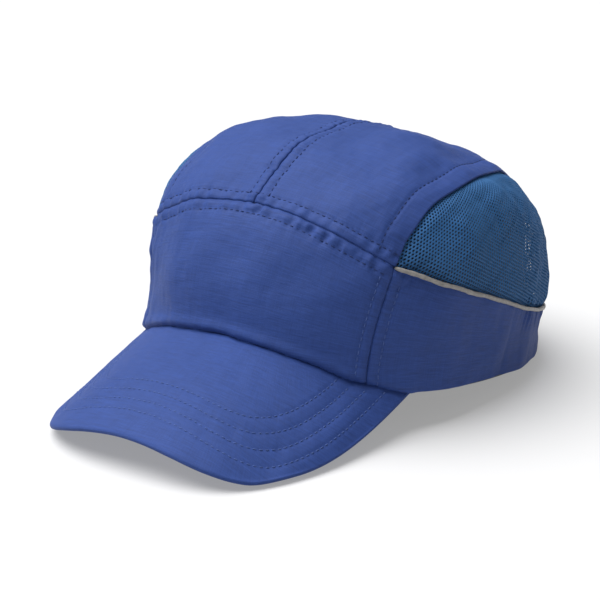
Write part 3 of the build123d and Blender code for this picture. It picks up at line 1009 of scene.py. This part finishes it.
def turnAt(limits, count, z, inset, test):
    # the span of turns between two limits where the wall passes a test
    turns = np.linspace(limits[0], limits[1], 4000)
    kept = turns[test(domePoint(turns, np.full(4000, z), inset))]
    points = domePoint(np.linspace(kept[0], kept[-1], 2000), np.full(2000, z), inset)
    run = lengths(points)
    return np.interp(np.linspace(0, run[-1], count), run, np.linspace(kept[0], kept[-1], 2000))


def feltLook(name, colour, loops, depth, rough=0.9, sheen=0.4):
    # towelling, brushed pile or buckram: small loops with shadow between them
    look = Look(name, Roughness=rough, Sheen_Weight=sheen, Sheen_Roughness=0.5)
    cut = look.cut()
    curls = look.noise(cut, loops, 3.0, 0.6)
    drift = look.noise(cut, loops * 0.12, 3.0)
    tone = (curls - 0.5) * 1.8 + (drift - 0.5) * 0.8 + 0.5
    look.feed(Base_Color=look.blend(tone, opaque(colour, 0.45), opaque(colour, 1.6)))
    look.bump(curls, depth / 1000)
    return look.made


def ribbedLook(name, colour, across, along, depth, rough=0.75):
    # tape, buckram or elastic: ribs one way, finer threads the other
    look = Look(name, Roughness=rough, Sheen_Weight=0.15)
    cut = look.cut()
    ribs = (look.axis(cut, 0) * (2 * math.pi / across)).math("SINE") * 0.5 + 0.5
    threads = (look.axis(cut, 1) * (2 * math.pi / along)).math("SINE") * 0.5 + 0.5
    wear = look.noise(cut, 0.25, 4.0)
    tone = ribs * 0.5 + threads * 0.25 + (wear - 0.5) * 0.5
    look.feed(Base_Color=look.blend(tone, opaque(colour, 0.6), opaque(colour, 1.25)))
    look.bump(ribs + threads * 0.5, depth / 1000)
    return look.made


terryLook = feltLook("towelling", (0.022, 0.027, 0.045), 1.6, 0.7)
pileLook = feltLook("loopPile", (0.016, 0.018, 0.024), 2.6, 0.6)
hookLook = ribbedLook("hookTape", (0.012, 0.012, 0.014), 1.3, 1.1, 0.5, 0.35)
tapeLook = ribbedLook("seamTape", (0.022, 0.036, 0.11), 0.9, 0.5, 0.15)
buckramLook = ribbedLook("buckram", (0.62, 0.62, 0.60), 1.2, 1.2, 0.25, 0.9)
elasticLook = ribbedLook("elastic", (0.52, 0.52, 0.52), 1.6, 0.7, 0.35)
labelLook = ribbedLook("labelTape", (0.80, 0.80, 0.78), 0.5, 0.25, 0.04, 0.4)
boardLook = feltLook("visorBoard", (0.05, 0.05, 0.055), 0.8, 0.05, 0.5, 0.0)
foamLook = feltLook("foam", (0.034, 0.036, 0.040), 1.1, 0.12, 0.85, 0.15)


def shellLook():
    look = Look("shellPlastic", Roughness=0.36, Coat_Weight=0.15, Coat_Roughness=0.25)
    place = look.place()
    grain = look.noise(place, 900.0, 2.0)
    scuffs = look.noise(look.scaled(place, (40.0, 260.0, 90.0)), 1.0, 5.0, 0.7)
    look.feed(Base_Color=look.blend(scuffs, opaque((0.010, 0.011, 0.013)), opaque((0.024, 0.025, 0.028))))
    look.feed(Roughness=scuffs * 0.22 + 0.26)
    look.bump(grain, 0.00006)
    return look.made


shellNode = frame["nodes"]["shell"]
shellNode.data.materials.clear()
shellNode.data.materials.append(shellLook())


def layer(name, grid, thick, look, body="cover", flip=False, sheet=True):
    # a strip or patch of cloth from a grid of its outer face
    faces = turned(gridFaces(*grid.shape[:2]), flip)
    piece = addPiece(name + "_layer", grid.reshape(-1, 3), faces, look, gridCut(grid), body=body)
    solidify(piece, thick)
    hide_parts(name)
    if sheet:
        declare(piece, grid)


# Stiffener behind the front panel, and the seam tapes
stiffener = {"inset": -1.15, "thick": 0.5}
stiff = frontGrid[3:-7:2, 7:-7:2]
stiffShape = clothAt(stiff.reshape(-1, 3), stiffener["inset"]).reshape(stiff.shape)
layer("front_stiffener", stiffShape, stiffener["thick"], buckramLook)
tapes = {"half": 6.0, "inset": -1.12, "thick": 0.45, "columns": 11, "sideLow": 30, "sideHigh": 52}


def seamTape(name, line):
    steps = np.linspace(-tapes["half"], tapes["half"], tapes["columns"])
    grid = np.stack([besideSeam(line, step) for step in steps], 0)
    shape = clothAt(grid.reshape(-1, 3), tapes["inset"]).reshape(grid.shape)
    layer(name, shape, tapes["thick"], tapeLook)


seamTape("seam_tape_front", frontSeam[3:-3])
seamTape("seam_tape_centre", centreSeam[9:-3])
for side, name in ((1, "seam_tape_left"), (-1, "seam_tape_right")):
    seam = sideOf(sideSeamLeft, side)
    seamTape(name, seam[(seam[:, 2] > tapes["sideLow"]) & (seam[:, 2] < tapes["sideHigh"])])
print("tapes sewn")

# Sweatband: towelling, folded out to the band at its foot
sweat = {
    "outer": 4.3, "thick": 1.3, "high": 29.6, "gapHalf": 71.0, "columns": 460, "rows": 26,
    "foldRise": [1.0, 0.55, 0.35, 0.5], "foldInset": [1.35, 1.9, 2.9, 3.8],
}


def clearOfGap(points):
    return (points[:, 1] < 0) | (np.abs(points[:, 0]) > sweat["gapHalf"])


sweatTurns = turnAt((-math.pi - 0.9, 0.9), sweat["columns"], 12.0, sweat["outer"], clearOfGap)
sweatRise = sweat["foldRise"] + list(np.linspace(1.4, sweat["high"], sweat["rows"]))
sweatInset = sweat["foldInset"] + [sweat["outer"]] * sweat["rows"]
sweatGrid = []
for z, inset in zip(sweatRise, sweatInset):
    line = domePoint(sweatTurns, np.full(sweat["columns"], z), inset)
    lift = 0.28 * ripple(lengths(line), 34, 101) + 0.10 * ripple(lengths(line), 8, 102)
    line = line - crownNormals(line) * (np.abs(lift) * min(1.0, z / 12))[:, None]
    sweatGrid.append(line)
sweatGrid = np.array(sweatGrid)
layer("sweatband", sweatGrid, sweat["thick"], terryLook)
inward = -crownNormals(sweatGrid[6])
sweatRows = [(sweatGrid[k] + inward * (sweat["thick"] + 0.02), inward) for k in (6, 27)]
stitches("sweatband_stitching", sweatRows, threadBlue, pitch=3.6)

# Binding round the half-moon opening
binding = {"wide": 2.5, "deep": 2.2, "centre": -0.55}


def bindEdge(line, normals):
    # a folded strip seen from its end is a flattened tube
    tangent = np.gradient(line, axis=0)
    tangent /= np.linalg.norm(tangent, axis=1, keepdims=True)
    side = np.cross(tangent, normals)
    turns = np.linspace(0, 2 * math.pi, 16, endpoint=False)
    a = np.sign(np.cos(turns)) * np.abs(np.cos(turns)) ** 0.55 * binding["wide"] / 2
    b = np.sign(np.sin(turns)) * np.abs(np.sin(turns)) ** 0.55 * binding["deep"] / 2
    points = line[:, None] + side[:, None] * a[None, :, None] + normals[:, None] * b[None, :, None]
    flat = np.stack(np.broadcast_arrays(lengths(line)[:, None], turns[None] * 1.2), 2)
    faces = gridFaces(len(line), 16, loop=True)
    faces += [tuple(range(16)), tuple(range((len(line) - 1) * 16, len(line) * 16))[::-1]]
    piece = addPiece("opening_binding_bound", points.reshape(-1, 3), faces, tapeLook, flat.reshape(-1, 2))
    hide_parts("opening_binding")


bindTurns = np.linspace(0.012, math.pi - 0.012, 150)
bindX = (seams["openingHalf"] - binding["wide"] / 2) * np.cos(bindTurns)
bindZ = (seams["openingHigh"] - binding["wide"] / 2) * np.sin(bindTurns)
bindLine = np.stack([bindX, wallY(bindX, bindZ, True), bindZ], 1)
bindNormals = crownNormals(bindLine)
bindLine = bindLine + bindNormals * binding["centre"]
bindEdge(bindLine, bindNormals)
bindRow = bindLine + bindNormals * (binding["deep"] / 2 - 0.02)
stitches("binding_stitching", [(bindRow, bindNormals)], threadBlue, pitch=3.0)

# Straps of the adjuster: each an upright arc, by its radius and its ends in degrees
straps = {
    "centre": np.array((0.0, 19.1, 0.0)), "low": 2.0, "high": 24.0, "margin": 1.5,
    "loop": {"radius": 84.1, "ends": (47, 104), "flare": 5.2}, "loopThick": 1.1,
    "pile": {"radius": 84.55, "ends": (60, 103), "corner": 1.5}, "pileThick": 0.45,
    "hook": {"radius": 86.6, "ends": (71, 140), "corner": 5.0}, "hookThick": 1.15,
    "patch": {"radius": 85.4, "ends": (73, 99), "corner": 2.5}, "patchThick": 0.42,
}


def strapGrid(radius, ends, margin=0.0, corner=0.0, flare=0.0):
    # its first end rounded, or flared out to the band
    low, high = straps["low"] + margin, straps["high"] - margin
    turns = np.radians(np.linspace(ends[0], ends[1], int(math.radians(ends[1] - ends[0]) * radius / 1.2)))
    run = (turns - turns[0]) * radius
    nick = corner - np.sqrt(corner**2 - np.maximum(corner - run, 0) ** 2)
    out = flare * np.clip(1 - run / 17.0, 0, 1) ** 2
    grid = []
    for v in np.linspace(0, 1, 17):
        z = (low + nick) * (1 - v) + (high - nick) * v
        wave = 0.0 if flare else 0.05 * np.sin(run / 9.0)
        far = radius + out + wave
        grid.append(np.stack([far * np.cos(turns), far * np.sin(turns), z], 1) + straps["centre"])
    return np.array(grid)


strapLook = wovenLook("strapCloth", palette["cloth"], pitch=0.62, depth=0.10, rough=0.62, sheen=0.15)


def strapRows(grid, outward, body, name, thick=0.0):
    # stitching along both edges of a strap
    lines = []
    for line in (grid[2], grid[-3]):
        normal = (line - straps["centre"]) * np.array((outward, outward, 0))
        normal /= np.linalg.norm(normal, axis=1, keepdims=True)
        lines.append((line[3:-2] + normal[3:-2] * thick, normal[3:-2]))
    stitches(name, lines, threadPale, pitch=3.2, body=body)


loopGrid = strapGrid(**straps["loop"])
pileGrid = strapGrid(margin=straps["margin"], **straps["pile"])
hookGrid = strapGrid(**straps["hook"])
patchGrid = strapGrid(margin=straps["margin"], **straps["patch"])
layer("loop_strap", loopGrid, straps["loopThick"], strapLook)
layer("loop_pile", pileGrid, straps["pileThick"], pileLook)
layer("hook_strap", hookGrid, straps["hookThick"], strapLook, "strap")
layer("hook_patch", patchGrid, straps["patchThick"], hookLook, "strap")
strapRows(hookGrid, 1, "strap", "hook_strap_stitching")
strapRows(loopGrid, -1, "cover", "loop_strap_stitching", straps["loopThick"] + 0.02)
print("straps sewn")

# Blank label, sewn to the sweatband by its ends
label = {"front": -12, "rear": 14, "low": 6, "high": 24, "inset": 5.75, "bow": 0.25, "thick": 0.25}
labelY, labelZ = np.linspace(label["front"], label["rear"], 27), np.linspace(label["low"], label["high"], 19)
labelGrid = []
for z, share in zip(labelZ, np.linspace(0, math.pi, 19)):
    points = domePoint(np.linspace(-0.3, 0.3, 61), np.full(61, z), label["inset"])
    bow = label["bow"] * math.sin(share) * np.sin(np.linspace(0, math.pi, 27))
    x = np.interp(labelY, points[:, 1], points[:, 0]) - bow - 0.12
    labelGrid.append(np.stack([x, labelY, z + 0 * x], 1))
layer("care_label", np.array(labelGrid), label["thick"], labelLook)

# Ribbed elastic inside the side bands
elastic = {"front": 10, "rear": 58, "low": 3.2, "high": 21.8, "inset": 1.15, "thick": 0.55, "ribs": 0.12}


def besideBand(points):
    return (points[:, 1] > elastic["front"]) & (points[:, 1] < elastic["rear"])


elasticTurns = turnAt((-0.2, 1.2), 150, 12.0, 1.1, besideBand)
elasticRise = np.linspace(elastic["low"], elastic["high"], 19)
elasticRows = [domePoint(elasticTurns, np.full(150, z), elastic["inset"]) for z in elasticRise]
for side, end in ((1, "left"), (-1, "right")):
    grid = sideOf(np.array(elasticRows), side)
    shape = clothAt(grid.reshape(-1, 3), -elastic["inset"]).reshape(grid.shape)
    normals = crownNormals(grid.reshape(-1, 3)).reshape(grid.shape)
    ribs = elastic["ribs"] * (1 + np.sin(lengths(grid[9]) * 2.6))
    shape = shape - normals * ribs[None, :, None]
    layer("band_elastic_" + end, shape, elastic["thick"], elasticLook, flip=side < 0)

# Visor board, sealed between the two cloths
board = {"inset": 2.4, "under": 0.9, "thick": 0.6}
boardX, boardY = visorEdge(evenTurns(121, 86.0), board["inset"])
boardStartX, boardStartY = visorRoot(boardX, boardY)
boardGrid = []
for t in np.linspace(0.02, 1, 24):
    x, y = boardStartX + (boardX - boardStartX) * t, boardStartY + (boardY - boardStartY) * t
    base = np.stack([x, y, visorHeight(x, y)], 1)
    boardGrid.append(base + visorNormals(x) * (visorRelief(x, y) - board["under"])[:, None])
boardGrid = np.array(boardGrid)
layer("visor_board", boardGrid, board["thick"], boardLook, flip=True, sheet=False)

# Foam pads on the shell's inner face, their edges rounded over
pads = {
    "soft": 1.8, "half": 34, "low": 36, "high": 58, "rearLow": 60, "rearHigh": 80,
    "outer": (9.0, 6.0, 0.0), "inner": (14.0, 11.0, 0.0),   # inset, inset at the top, and spread
    "crownHalf": 40.0, "crownCorner": 18.0, "crownBore": 12.0, "crownY": -14.0,
}


def foamPad(name, outer, inner, depth, flat, loop=False):
    # outer and inner are grids of its two faces, depth how far from the pad's edge each point is
    rows, columns = outer.shape[:2]
    share = np.clip(depth / pads["soft"], 0, 1)
    bulge = np.sqrt(1 - (1 - share) ** 2)
    middle = outer * 0.45 + inner * 0.55
    back, face = middle + (outer - middle) * bulge[..., None], middle + (inner - middle) * bulge[..., None]
    points = np.vstack([back.reshape(-1, 3), face.reshape(-1, 3)])
    cells = gridFaces(rows, columns, loop)
    half = rows * columns
    faces = cells + [tuple(half + i for i in f[::-1]) for f in cells]
    piece = addPiece(name + "_foam", points, faces, foamLook, np.vstack([flat, flat]), body="shell")
    piece.modifiers.new("joined", "WELD").merge_threshold = 0.00002
    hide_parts(name)


def wallPad(name, limits, axis, low=pads["low"], high=pads["high"]):
    # between two turns round the wall, and no wider than a pad along an axis
    columns = 64
    turns = turnAt(limits, columns, (low + high) / 2, 9.0, lambda p: np.abs(p[:, axis]) < pads["half"])
    edge = np.array([0, 0.12, 0.4, 0.9, 1.8])
    z = np.concatenate([low + edge, np.linspace(low + 3, high - 3, 24), high - edge[::-1]])
    outer = np.array([domePoint(turns, np.full(columns, h), *pads["outer"]) for h in z])
    inner = np.array([domePoint(turns, np.full(columns, h), *pads["inner"]) for h in z])
    along = lengths(outer[len(z) // 2])
    fromEnd = np.minimum(along, along[-1] - along)
    fromSide = np.minimum(z - low, high - z)
    depth = np.minimum(fromEnd[None], fromSide[:, None])
    flat = np.stack(np.meshgrid(along, z), 2).reshape(-1, 2)
    foamPad(name, outer, inner, depth, flat)


wallPad("pad_brow", (-math.pi * 0.9, -math.pi * 0.1), 0)
wallPad("pad_rear", (math.pi * 0.1, math.pi * 0.9), 0, pads["rearLow"], pads["rearHigh"])
wallPad("pad_left", (-0.9, 0.9), 1)
wallPad("pad_right", (math.pi - 0.9, math.pi + 0.9), 1)


def crownPad():
    # a rounded square with a round hole, by distance from the centre along each ray
    turns = np.linspace(0, 2 * math.pi, 144, endpoint=False)
    half, corner, bore = pads["crownHalf"], pads["crownCorner"], pads["crownBore"]
    sizes = np.linspace(0, 60, 1200)
    out = []
    for turn in turns:
        x, y = np.abs(sizes * math.cos(turn)), np.abs(sizes * math.sin(turn))
        over = np.hypot(np.maximum(x - half + corner, 0), np.maximum(y - half + corner, 0)) - corner
        out.append(sizes[np.argmax((over > 0) & (np.maximum(x, y) > half - corner))])
    out = np.array(out)
    ends = np.array([0, 0.004, 0.014, 0.035, 0.07])
    shares = np.concatenate([ends, np.linspace(0.12, 0.88, 20), 1 - ends[::-1]])
    size = bore + (out - bore)[None] * shares[:, None]
    x, y = size * np.cos(turns)[None], size * np.sin(turns)[None] + pads["crownY"]
    outer = np.stack([x, y, domeHeight(x, y, *pads["outer"])], 2)
    inner = np.stack([x, y, domeHeight(x, y, *pads["inner"])], 2)
    depth = np.minimum(size - bore, out[None] - size)
    foamPad("pad_crown", outer, inner, depth, np.stack([x, y], 2).reshape(-1, 2), loop=True)


crownPad()
print("pads laid")


# Round tabs that hold the cover to the shell
tabSpots = ((34, -44), (-34, -44), (36, 26), (-36, 26))
tabRings = (0.05, 2.5, 5, 7.5, 9.5, 10.6, 10.9)


def tabs(name, outer, inner, look, body):
    # outer and inner say how far in from the crown each of a tab's two faces is
    points, faces, flat = [], [], []
    turns = np.linspace(0, 2 * math.pi, 48, endpoint=False)
    sizes = np.array(tabRings)[:, None]
    for centreX, centreY in tabSpots:
        x, y = centreX + sizes * np.cos(turns)[None], centreY + sizes * np.sin(turns)[None]
        top = np.stack([x, y, domeHeight(x, y, *outer)], 2)
        foot = np.stack([x, y, domeHeight(x, y, *inner)], 2)
        grid = np.concatenate([top, foot[::-1]], 0)
        base = len(points)
        points.extend(grid.reshape(-1, 3))
        flat.extend(grid[:, :, :2].reshape(-1, 2))
        faces += [tuple(base + i for i in f) for f in gridFaces(14, 48, True)]
        faces.append(tuple(base + c for c in range(48)))
        faces.append(tuple(base + 13 * 48 + c for c in range(48))[::-1])
    piece = addPiece(name + "_round", np.array(points), faces, look, np.array(flat), False, body)
    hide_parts(name)


tabs("cover_tabs", (2.0,), (3.0,), pileLook, "cover")
tabs("shell_tabs", (3.1,), (6.99, 3.99, 0.0), hookLook, "shell")
print("tabs laid")

# Floor, light and camera
studio = {
    "floor": (0.43, 0.43, 0.434), "glow": 0.30, "sky": 0.22,
    "sun": 5.25, "sunSpread": 62.0, "sunAzimuth": -67.0, "sunHeight": 66.0,
    "azimuth": 34.14, "elevation": 11.34, "roll": 4.74, "distance": 1058.6, "focal": 3.51365,
    "aim": (0.0, -18.6, 46.5), "shift": (-0.0528, -0.0736),
}


def buildStudio():
    mesh = bpy.data.meshes.new("floor")
    half, floorZ = 6.0, cadBox[0][2]
    corners = [(-half, -half, floorZ), (half, -half, floorZ), (half, half, floorZ), (-half, half, floorZ)]
    mesh.from_pydata(corners, [], [(0, 1, 2, 3)])
    floor = bpy.data.objects.new("floor", mesh)
    bpy.context.scene.collection.objects.link(floor)
    # the paper glows evenly white: painted light that lifts the shadows on the floor and lights the cap from
    # below, its own colour kept dark so the lit floor stays white
    look = Look("paper", Roughness=0.9, Specular_IOR_Level=0.1, Emission_Strength=studio["glow"])
    look.shader.inputs["Emission Color"].default_value = (1.0, 1.0, 1.0, 1.0)
    grain = look.noise(look.place(), 3.0, 2.0)
    look.feed(Base_Color=look.blend(grain, opaque(studio["floor"], 0.985), opaque(studio["floor"])))
    mesh.materials.append(look.made)
    world = bpy.data.worlds.new("studio")
    bpy.context.scene.world = world
    world.use_nodes = True
    sky = world.node_tree.nodes["Background"]
    sky.inputs[0].default_value = (1.0, 1.0, 1.0, 1.0)
    sky.inputs[1].default_value = studio["sky"]
    sun = bpy.data.lights.new("key", "SUN")
    sun.energy, sun.angle = studio["sun"], math.radians(studio["sunSpread"])
    lamp = bpy.data.objects.new("key", sun)
    turn, height = math.radians(studio["sunAzimuth"]), math.radians(studio["sunHeight"])
    away = Vector((math.sin(turn) * math.cos(height), -math.cos(turn) * math.cos(height), math.sin(height)))
    lamp.rotation_mode = "QUATERNION"
    lamp.rotation_quaternion = away.to_track_quat("Z", "Y")
    bpy.context.scene.collection.objects.link(lamp)


def buildCamera():
    az, el, roll = (math.radians(studio[key]) for key in ("azimuth", "elevation", "roll"))
    back = np.array((math.sin(az) * math.cos(el), -math.cos(az) * math.cos(el), math.sin(el)))
    right = np.array((math.cos(az), math.sin(az), 0.0))
    up = np.cross(back, right)
    turnedRight = right * math.cos(roll) + up * math.sin(roll)
    turnedUp = up * math.cos(roll) - right * math.sin(roll)
    place = toRow(np.array(studio["aim"]) + back * studio["distance"])
    columns = [Vector(axis @ bandAxes) for axis in (turnedRight, turnedUp, back)]
    data = bpy.data.cameras.new("camera")
    camera = bpy.data.objects.new("camera", data)
    camera.matrix_world = Matrix.Translation(Vector(place)) @ Matrix(columns).transposed().to_4x4()
    data.sensor_width = 36.0
    data.lens = studio["focal"] * data.sensor_width
    data.shift_x, data.shift_y = studio["shift"]
    data.clip_end = 100.0
    bpy.context.scene.collection.objects.link(camera)
    bpy.context.scene.camera = camera


buildStudio()
buildCamera()
bpy.context.scene.view_settings.view_transform = "Standard"
